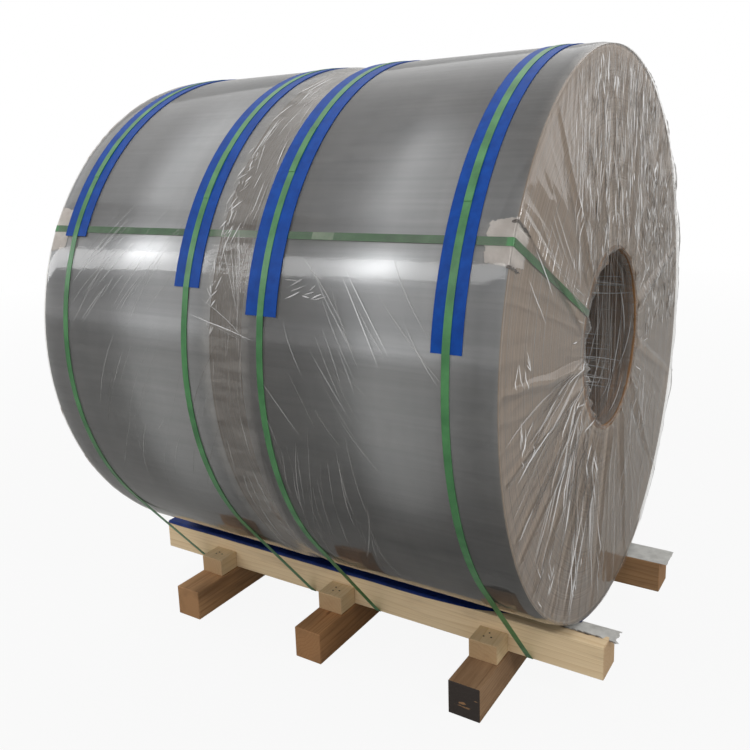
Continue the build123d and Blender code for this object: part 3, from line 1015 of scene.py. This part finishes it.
@dataclass
class FilmFolds:
    """The film's sharp folds, each a narrow doubled strip that stands off the sheet it lies on."""

    shape: FilmShape
    material: bpy.types.Material
    steps_along: int = 6
    lift: float = 0.7 * MM

    def build(self) -> None:
        """Builds one piece for each part of the film."""
        for chart in Chart:
            draw = random.Random(chart.name)
            builder = bmesh.new()
            tone = builder.verts.layers.float.new("tone")
            for bundle in FOLD_BUNDLES[chart]:
                for _ in range(bundle.count):
                    self.fold(builder, tone, chart, bundle, draw)
            piece = finish_object(builder, f"film_folds_{chart.name.lower()}", [self.material])
            register(piece, "clear_film")

    def fold(self, builder: bmesh.types.BMesh, tone: Any, chart: Chart, bundle: FoldBundle,
             draw: random.Random) -> None:
        """Adds one fold of a bundle, unless it would leave its part of the film.

        Args:
            builder: the bmesh to add to.
            tone: the layer that keeps the fold's painted light, from painted shade to painted highlight.
            chart: the part of the film.
            bundle: the bundle.
            draw: where its place and shape come from.
        """
        middle = Vector([m + draw.uniform(-1, 1) * s for m, s in zip(bundle.middle, bundle.spread)])
        heading = math.radians(draw.gauss(bundle.heading, bundle.stray / 2))
        if bundle.pole is not None:
            out = middle - Vector(bundle.pole)
            heading += math.atan2(out.y, out.x)
        length = draw.uniform(*bundle.length)
        width = draw.uniform(*bundle.width)
        bow = draw.uniform(-bundle.bow, bundle.bow) * length
        painted_light_level = draw.uniform(*bundle.tone)
        along = Vector((math.cos(heading), math.sin(heading)))
        across = Vector((-along.y, along.x))
        if not all(self.holds(chart, bundle, middle + along * length * share) for share in (-0.5, 0, 0.5)):
            return

        def place(u: float, v: float) -> Vector:
            taper = 1 - (2 * u - 1) ** 2
            offset = across * ((v - 0.5) * width * taper + bow * taper)
            point = middle + along * ((u - 0.5) * length) + offset
            crest = self.lift + 0.35 * width * taper * (1 - abs(2 * v - 1))
            return self.on_film(chart, point, crest)

        for vert, _, _ in add_grid(builder, self.steps_along, 2, place):
            vert[tone] = painted_light_level

    def holds(self, chart: Chart, bundle: FoldBundle, point: Vector) -> bool:
        """Says whether a point of a bundle lies on its part of the film."""
        s = self.shape.sizes
        if chart in (Chart.RIGHT_END, Chart.LEFT_END):
            inner = 0.0 if bundle.across_eye else s.eye_radius + 2 * s.corner
            return inner <= point.length < s.film_radius - 2 * s.corner
        return abs(point.x) < s.film_end - 2 * s.corner

    def on_film(self, chart: Chart, point: Vector, lift: float) -> Vector:
        """Gives the place of a chart's point, lifted off the film by some metres."""
        s = self.shape.sizes
        if chart in (Chart.RIGHT_END, Chart.LEFT_END):
            return self.shape.end_point(point, 1.0 if chart is Chart.RIGHT_END else -1.0, lift)
        if chart is Chart.GIRTH:
            return self.shape.girth_point(point.x, 180 - math.degrees(point.y / s.film_radius), lift)
        return s.around(point.x, s.eye_radius - 3 * MM - lift, math.degrees(point.y / s.eye_radius))


@dataclass(frozen=True)
class Scrap:
    """A dirty scrap torn off at a guard's corner.

    It has an angle round the coil, a reach over the coil and down its end, and half its height.
    """

    angle: float
    over: float
    down: float
    half: float


@dataclass
class EdgeGuards:
    """The torn pieces of sheet bent over the rims under the eye strap, with scraps at the right one."""

    sizes: LoadSizes
    material: bpy.types.Material
    coil_radius: float = 801.1 * MM
    half_widths: tuple[float, float] = (0.055, 0.07)
    drop: float = 72.0 * MM
    stand: float = 1.1 * MM
    grid: tuple[int, int] = (34, 26)
    tear: float = 3.0 * MM
    scraps: tuple[Scrap, ...] = (
        Scrap(151.2, 12 * MM, 82 * MM, 6.5 * MM),
        Scrap(158.2, 8 * MM, 55 * MM, 5.0 * MM),
    )
    scrap_grid: tuple[int, int] = (24, 4)
    scrap_stand: float = 1.3 * MM

    def build(self) -> None:
        """Builds both guards."""
        for seed, (side, name) in enumerate(((1.0, "right"), (-1.0, "left"))):
            low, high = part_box(f"edge_guard_{name}")
            coil_end = max(abs(low[0]), abs(high[0])) - self.stand
            self.guard(name, side, coil_end, high[0] - low[0], seed)

    def guard(self, name: str, side: float, end: float, reach: float, seed: int) -> None:
        """Builds one guard, which widens towards the rim and narrows again down the coil's face.

        Args:
            name: right or left.
            side: 1 at the right end, -1 at the left.
            end: how far along X the coil's face is.
            reach: how far the guard lies along the coil.
            seed: what its torn edges are drawn from.
        """
        draw = random.Random(70 + seed)
        jag = [draw.uniform(-1, 1) * self.tear for _ in range(200)]

        def place(u: float, v: float) -> Vector:
            across = 2 * v - 1
            way = u * (reach + self.drop) - reach
            way += (jag[int(v * 40)] if u > 0.9 or u < 0.1 else 0.0) + 4 * MM * abs(across) ** 6
            narrowing = 0.18 * max(0.0, -way / reach) + 0.30 * max(0.0, way / self.drop)
            aside = across * self.half_widths[seed] * (1 - narrowing)
            if abs(across) > AT_EDGE:
                aside += jag[60 + int(u * 40)] * 0.7
            angle = STRAP_ANGLE + math.degrees(aside / self.coil_radius)
            if way < 0:
                return self.sizes.around(side * min(end + 0.7 * MM, end + way), self.coil_radius, angle)
            return self.sizes.around(side * (end + 0.8 * MM), self.coil_radius - way, angle)

        builder = bmesh.new()
        soil = builder.verts.layers.float.new("soil")
        for vert, u, v in add_grid(builder, *self.grid, place):
            at_corner = abs(2 * v - 1) ** 5 * max(0.0, 1 - abs(u - 0.52) / 0.16)
            at_foot = max(0.0, (u - 0.93) / 0.07) * 0.5
            vert[soil] = min(1.0, 1.2 * at_corner * (0.4 + 0.6 * draw.random()) + at_foot * draw.random())
        if side > 0:
            for scrap in self.scraps:
                for vert, _, _ in add_grid(builder, *self.scrap_grid, self.scrap_place(scrap, end, draw)):
                    vert[soil] = draw.uniform(0.75, 1.0)
        piece = finish_object(builder, f"guard_sheet_{name}", [self.material])
        register(piece, "guard_sheet", f"edge_guard_{name}")

    def scrap_place(self, scrap: Scrap, end: float, draw: random.Random) -> Place:
        """Gives the function that places the points of one scrap, which bends over the rim as the guard does.

        Args:
            scrap: the scrap.
            end: how far along X the coil's face is.
            draw: where its ragged outline comes from.

        Returns:
            A function that gives a point for the way along it and across it, each from 0 to 1.
        """
        offset = draw.uniform(0, 50)

        def place(u: float, v: float) -> Vector:
            way = u * (scrap.over + scrap.down) - scrap.over
            ragged = 0.65 + 0.9 * noise.noise(Vector((u * 7, (v > 0.5) * 3.0, offset)))
            taper = math.sin(math.pi * min(0.96, 0.04 + u)) ** 0.4
            aside = (2 * v - 1) * scrap.half * ragged * taper
            turn = scrap.angle + math.degrees(aside / self.coil_radius)
            if way < 0:
                return self.sizes.around(end + way, self.coil_radius + self.scrap_stand / 2, turn)
            return self.sizes.around(end + self.scrap_stand, self.coil_radius - way, turn)

        return place


@dataclass
class LaidSheets:
    """The blue liner under the coils and the pale sheets on the bearers, cut or torn to length by hand."""

    sizes: LoadSizes
    # blue is the liner's finish, a blue darkened by painted shade.
    blue: bpy.types.Material
    pale: bpy.types.Material
    inner_edge: float = 218.0 * MM
    middle_depth: float = 1.0 * MM
    liner_clearance: float = 1.2 * MM
    liner_width: float = 0.67
    liner_lip: float = 8.0 * MM
    liner_grid: tuple[int, int] = (120, 160)
    corner_cut: tuple[float, float] = (0.30, 0.084)
    cover_clearance: float = 3.3 * MM
    cover_grid: tuple[int, int] = (300, 18)
    tear_reach: float = 0.25
    loose_past: float = 0.23

    def build(self) -> None:
        """Builds the liner and both bearer sheets."""
        self.liner()
        self.bearer_sheet("front", -1.0, torn=9 * MM)
        self.bearer_sheet("rear", 1.0, torn=1 * MM)

    def section(self, radius: float, level: float, outer: float, inner: float) -> Callable[[float], Vector]:
        """Gives half a sheet's section: from its outer edge flat to the coils, then down along them.

        Args:
            radius: the radius that it bends down to.
            level: the flat part's height.
            outer: the outer edge's distance from the middle.
            inner: the inner edge's.

        Returns:
            A function from 0, outside, to 1, inside, that gives the distance from the middle and the height.
        """
        axis = self.sizes.axis_height
        foot = math.sqrt(radius ** 2 - (axis - level) ** 2)

        def at(share: float) -> Vector:
            aside = outer + (inner - outer) * share
            height = level if aside > foot else axis - math.sqrt(radius ** 2 - aside ** 2)
            return Vector((aside, height))

        return at

    def liner(self) -> None:
        """Lays the liner over both bearers, with its long edges hanging over them."""
        low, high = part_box("coil_liner")
        start, outer = low[0], high[1]
        level = high[2] - self.middle_depth
        at = self.section(self.sizes.film_radius + self.liner_clearance, level, outer, 0.0)
        length, depth = self.corner_cut

        def place(u: float, v: float) -> Vector:
            side = -1.0 if v < 0.5 else 1.0
            outwards = abs(2 * v - 1)
            spot = at(1 - outwards)
            cut = max(0.0, (spot.x - outer + depth) / depth)
            x = start + u * (high[0] - length * cut - start)
            droop = self.liner_lip * min(1.0, (1 - u) * 8) if outwards > AT_EDGE else 0.0
            wave = 1.5 * MM * noise.noise(Vector((x * 6, 3.0, side))) if droop else 0.0
            return Vector((x, side * (spot.x + 0.5 * MM), spot.y - droop + wave))

        builder = bmesh.new()
        add_grid(builder, *self.liner_grid, place)
        piece = finish_object(builder, "liner_sheet", [self.blue])
        register(piece, "blue_plastic", "coil_liner")

    def bearer_sheet(self, face: str, side: float, torn: float) -> None:
        """Lays the sheet on one bearer.

        Args:
            face: front or rear.
            side: -1 in front, 1 behind.
            torn: how far its torn end strays, in metres.
        """
        low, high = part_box(f"bearer_sheet_{face}")
        outer = max(abs(low[1]), abs(high[1]))
        level = high[2] - self.middle_depth
        at = self.section(self.sizes.film_radius + self.cover_clearance, level, outer, self.inner_edge)
        draw = random.Random(face)
        jag = [draw.uniform(-1, 1) for _ in range(60)]

        def place(u: float, v: float) -> Vector:
            spot = at(1 - v)
            tongue = noise.noise(Vector((v * 5, 7.0, side))) - 0.35 * v
            end = high[0]
            if u > AT_EDGE:
                end += torn * (1.4 * tongue + 0.25 * jag[int(v * 24)])
            x = low[0] + u * (end - low[0])
            near_end = max(0.0, 1 - (high[0] - x) / self.tear_reach)
            edge = torn * 0.35 * jag[30 + int(u * 200) % 30] * near_end if v > AT_EDGE else 0.0
            droop = -4 * torn * near_end ** 6 * v
            lift = torn * 0.4 * (1 + noise.noise(Vector((x * 40, v * 2, 1)))) * near_end
            rise = lift + droop * 0.3 if spot.x > self.loose_past else 0.0
            return Vector((x, side * (spot.x + edge), spot.y + rise))

        builder = bmesh.new()
        soil = builder.verts.layers.float.new("soil")
        for vert, u, v in add_grid(builder, *self.cover_grid, place):
            at_tear = torn > 5 * MM and v > 0.93 and u > 0.86
            vert[soil] = 0.9 if at_tear and draw.random() < 0.55 else 0.0
        piece = finish_object(builder, f"bearer_cover_{face}", [self.pale])
        register(piece, "white_sheet", f"bearer_sheet_{face}")


@dataclass
class NailHeads:
    """The nails driven through the stop blocks, three in each."""

    material: bpy.types.Material
    radius: float = 3.2 * MM
    stand: float = 0.6 * MM

    def build(self) -> None:
        """Builds all the heads as one piece."""
        draw = random.Random(12)
        builder = bmesh.new()
        places = ("left", "middle", "right")
        for block in [f"stop_block_{face}_{where}" for face in ("front", "rear") for where in places]:
            low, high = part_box(block)
            centre = Vector(((low[0] + high[0]) / 2, (low[1] + high[1]) / 2, high[2]))
            for number in range(3):
                turn = math.tau * number / 3 + draw.uniform(-0.5, 0.5)
                spot = centre + Vector((math.cos(turn), math.sin(turn), 0)) * draw.uniform(8, 15) * MM
                bmesh.ops.create_cone(builder, cap_ends=True, segments=12, radius1=self.radius,
                                      radius2=self.radius * 0.8, depth=2 * self.stand,
                                      matrix=Matrix.Translation(spot))
        piece = finish_object(builder, "nail_heads", [self.material], smooth=False)
        register(piece, "pine")


@dataclass
class StrapWeld:
    """The eye strap's weld, a paler patch where its ends meet."""

    sizes: LoadSizes
    material: bpy.types.Material
    middle: float = 0.251
    length: float = 0.062
    half_width: float = 9.0 * MM
    radius: float = 803.7 * MM

    def build(self) -> None:
        """Builds the weld's patch on top of the strap."""

        def place(u: float, v: float) -> Vector:
            aside = (2 * v - 1) * self.half_width
            return self.sizes.around(self.middle + (u - 0.5) * self.length, self.radius,
                                     STRAP_ANGLE + math.degrees(aside / self.radius))

        builder = bmesh.new()
        add_grid(builder, 8, 2, place)
        piece = finish_object(builder, "eye_strap_weld", [self.material])
        register(piece, "green_strap")


@dataclass(frozen=True)
class Lamp:
    """One soft lamp: place, width and height, how bright its face is (white is 1), tilt in degrees."""

    name: str
    place: tuple[float, float, float]
    size: tuple[float, float]
    level: float
    tilt: float = 0.0


@dataclass
class Studio:
    """A pale floor, a white world and soft lamps."""

    lamps: list[Lamp]
    floor_size: float = 60.0
    floor_colour: str = "#A8A8A6"
    floor_white_near: float = 0.92
    floor_white_from: tuple[float, float] = (2.2, 9.0)
    floor_white_mirrored: float = 0.08
    ceiling_level: float = 0.60
    world_light: float = 0.66
    aim_height: float = 0.9
    camera_place: tuple[float, float, float] = (1.3736, -2.2565, 1.4942)
    azimuth: float = 32.145
    elevation: float = 11.551
    roll: float = -1.742
    focal_pixels: float = 807.6
    axis_pixel: tuple[float, float] = (383.38, 325.05)
    image_pixels: int = 750
    sensor_mm: float = 36.0

    def build(self) -> None:
        """Builds the stage, the lamps and the camera."""
        self.floor()
        self.world()
        for lamp in self.lamps:
            self.hang(lamp)
        self.camera()
        bpy.context.scene.view_settings.view_transform = "Standard"

    @staticmethod
    def mirrored(tree: Tree, path: bpy.types.Node) -> Socket:
        """Gives 1 for rays that see the stage in metal or through film."""
        return add_math(tree, "MAXIMUM", path.outputs["Is Glossy Ray"], path.outputs["Is Transmission Ray"])

    def floor(self) -> None:
        """Lays a pale floor that looks white and still takes the load's shadow."""
        material, tree, shader = new_material("studio_floor")
        plug(tree, shader, {"Base Color": linear(self.floor_colour), "Roughness": 0.9,
                            "Specular IOR Level": 0.0})
        white = add_node(tree, "ShaderNodeEmission", {"Color": WHITE, "Strength": 1.0}).outputs[0]
        path = add_node(tree, "ShaderNodeLightPath")
        distance = add_vector_math(tree, "LENGTH", coordinates(tree))
        near, far = self.floor_white_from
        white_share = map_range(tree, distance, self.floor_white_near, 1.0, from_min=near, from_max=far)
        seen = add_math(tree, "MULTIPLY", path.outputs["Is Camera Ray"], white_share)
        in_metal = add_math(tree, "MULTIPLY", self.mirrored(tree, path), self.floor_white_mirrored)
        share = add_math(tree, "MAXIMUM", seen, in_metal)
        set_surface(tree, mix_shaders(tree, share, shader.outputs[0], white))
        builder = bmesh.new()
        bmesh.ops.create_grid(builder, x_segments=1, y_segments=1, size=self.floor_size / 2)
        finish_object(builder, "studio_floor", [material], smooth=False)

    def world(self) -> None:
        """Sets a white world that fades to a grey ceiling for reflections."""
        world = bpy.data.worlds.new("studio_world")
        bpy.context.scene.world = world
        world.use_nodes = True
        tree = world.node_tree
        tree.nodes.clear()
        height = add_node(tree, "ShaderNodeSeparateXYZ", {0: coordinates(tree, "Generated")}).outputs["Z"]
        level = add_ramp(tree, height, [(0.0, 1.0), (0.04, 1.0), (0.12, self.ceiling_level)])
        path = add_node(tree, "ShaderNodeLightPath")
        mirrored = self.mirrored(tree, path)
        seen = add_math(tree, "MAXIMUM", path.outputs["Is Camera Ray"], mirrored)
        strength = map_range(tree, seen, self.world_light, 1.0)
        colour = mix_colours(tree, mirrored, WHITE, level)
        background = add_node(tree, "ShaderNodeBackground", {"Color": colour, "Strength": strength})
        add_node(tree, "ShaderNodeOutputWorld", {"Surface": background.outputs[0]})

    def hang(self, lamp: Lamp) -> None:
        """Hangs one soft lamp that points at the load."""
        data = bpy.data.lights.new(lamp.name, "AREA")
        data.shape = "RECTANGLE"
        data.size, data.size_y = lamp.size
        data.energy = lamp.level * math.pi * lamp.size[0] * lamp.size[1]
        light = bpy.data.objects.new(lamp.name, data)
        light.location = lamp.place
        aim = Vector((0.0, 0.0, self.aim_height)) - Vector(lamp.place)
        tilt = Matrix.Rotation(math.radians(lamp.tilt), 4, "Z")
        light.rotation_euler = (aim.to_track_quat("-Z", "Y").to_matrix().to_4x4() @ tilt).to_euler()
        bpy.context.scene.collection.objects.link(light)

    def camera(self) -> None:
        """Places the camera as the photograph was taken."""
        data = bpy.data.cameras.new("camera")
        data.sensor_width = self.sensor_mm
        data.lens = self.focal_pixels * self.sensor_mm / self.image_pixels
        data.shift_x = (self.image_pixels / 2 - self.axis_pixel[0]) / self.image_pixels
        data.shift_y = (self.axis_pixel[1] - self.image_pixels / 2) / self.image_pixels
        data.clip_end = 200.0
        camera = bpy.data.objects.new("camera", data)
        turn = (Matrix.Rotation(math.radians(self.azimuth), 4, "Z")
                @ Matrix.Rotation(math.radians(90 - self.elevation), 4, "X")
                @ Matrix.Rotation(math.radians(self.roll), 4, "Z"))
        camera.matrix_world = Matrix.Translation(self.camera_place) @ turn
        bpy.context.scene.collection.objects.link(camera)
        bpy.context.scene.camera = camera


def dress_skid() -> None:
    """Gives each timber its own pine: pale bearer in front, browner beams across, one with a painted end."""
    dress("bearer_front", SawnPine("pine_bearer_front", pith=(-0.40, 0.05)).build())
    dress("bearer_rear", SawnPine("pine_bearer_rear", early="#B08A62", late="#8E6841", pith=(0.36, 0.02),
                                  dirt_level=0.5, shift=0.7).build())
    beams = {
        "left": SawnPine("pine_beam_left", early="#C79C70", late="#A0744A", grain=Grain.ALONG_Y,
                         pith=(-0.60, -0.06), dirt_level=0.55, shift=1.3),
        "middle": SawnPine("pine_beam_middle", early="#B98A5C", late="#93653C", grain=Grain.ALONG_Y,
                           pith=(-0.10, 0.16), dirt_level=0.5, shift=2.1),
        "right": SawnPine("pine_beam_right", early="#A88765", late="#7F6145", grain=Grain.ALONG_Y,
                          pith=(0.58, -0.03), dirt_level=0.7, shift=3.4, stained_past=-0.5143),
    }
    for number, (where, timber) in enumerate(beams.items()):
        dress(f"cross_beam_{where}", timber.build())
        block = SawnPine(f"pine_block_{where}", early="#E2C9A1", late="#CDB083", grain=Grain.ALONG_Y,
                         pith=(-0.7 + 0.6 * number, 0.05), dirt_level=0.25, shift=5.0 + number).build()
        for face in ("front", "rear"):
            dress(f"stop_block_{face}_{where}", block)


def main() -> None:
    """Builds the scene in order."""
    logging.basicConfig(level=logging.INFO, format="%(message)s")
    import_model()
    sizes = LoadSizes.from_frame()

    strap = Strapping().build()
    blue = PlainSheet("blue_plastic", "#0A489E", "#073C8A", roughness=0.45, gloss=0.15).build()
    # The liner is the pads' blue plastic darkened to navy as painted shade where it lies under the coils.
    blue_in_painted_shade = PlainSheet("blue_liner", "#1B3273", "#142759", roughness=0.5, gloss=0.15).build()
    board = PlainSheet("core_board", "#A87B4E", "#5A4534", mottle=(0.012, 0.25, 0.25), roughness=0.8).build()
    guard = PlainSheet("guard_sheet", "#F0E9E4", "#DED6D0", roughness=0.75).build()
    pale = PlainSheet("pale_sheet", "#CFCFCB", "#B9B9B5", roughness=0.7, soil="#57493B").build()
    nails = PlainSheet("nail_heads", "#3A342F", "#2A2522", roughness=0.6).build()
    weld = PlainSheet("strap_weld", "#A9B79E", "#7FA080", roughness=0.4).build()
    dress_skid()
    for number in "1234":
        dress(f"strap_pad_{number}", blue)
        dress(f"girth_strap_{number}", strap)
    dress("eye_strap", strap)
    for side in ("left", "right"):
        dress(f"core_{side}", board)

    Coils(sizes, RolledAluminium().build(), SlitEdges(axis_height=sizes.axis_height).build()).build()
    EdgeGuards(sizes, guard).build()
    StrapWeld(sizes, weld).build()
    shape = FilmShape(sizes)
    girth_film = StretchFilm("film_on_coils", wrinkle=(0.006, 0.12, 1.0), gathered_haze=0.42).build()
    end_film = StretchFilm("film_on_ends", wrinkle=(0.008, 0.30, 1.0)).build()
    Film(shape, girth_film, end_film).build()
    FilmFolds(shape, FoldEdge().build()).build()
    LaidSheets(sizes, blue_in_painted_shade, pale).build()
    NailHeads(nails).build()
    Studio(lamps=[
        Lamp("strip_lamp", (-3.65, -4.7, 3.62), (9.0, 0.7), 4.6, tilt=22.0),
        Lamp("top_lamp", (-1.5, 1.0, 5.5), (11.0, 6.0), 0.62),
        Lamp("right_lamp", (5.0, -2.0, 4.4), (1.1, 1.1), 24.0),
    ]).build()


if __name__ == "__main__":
    main()
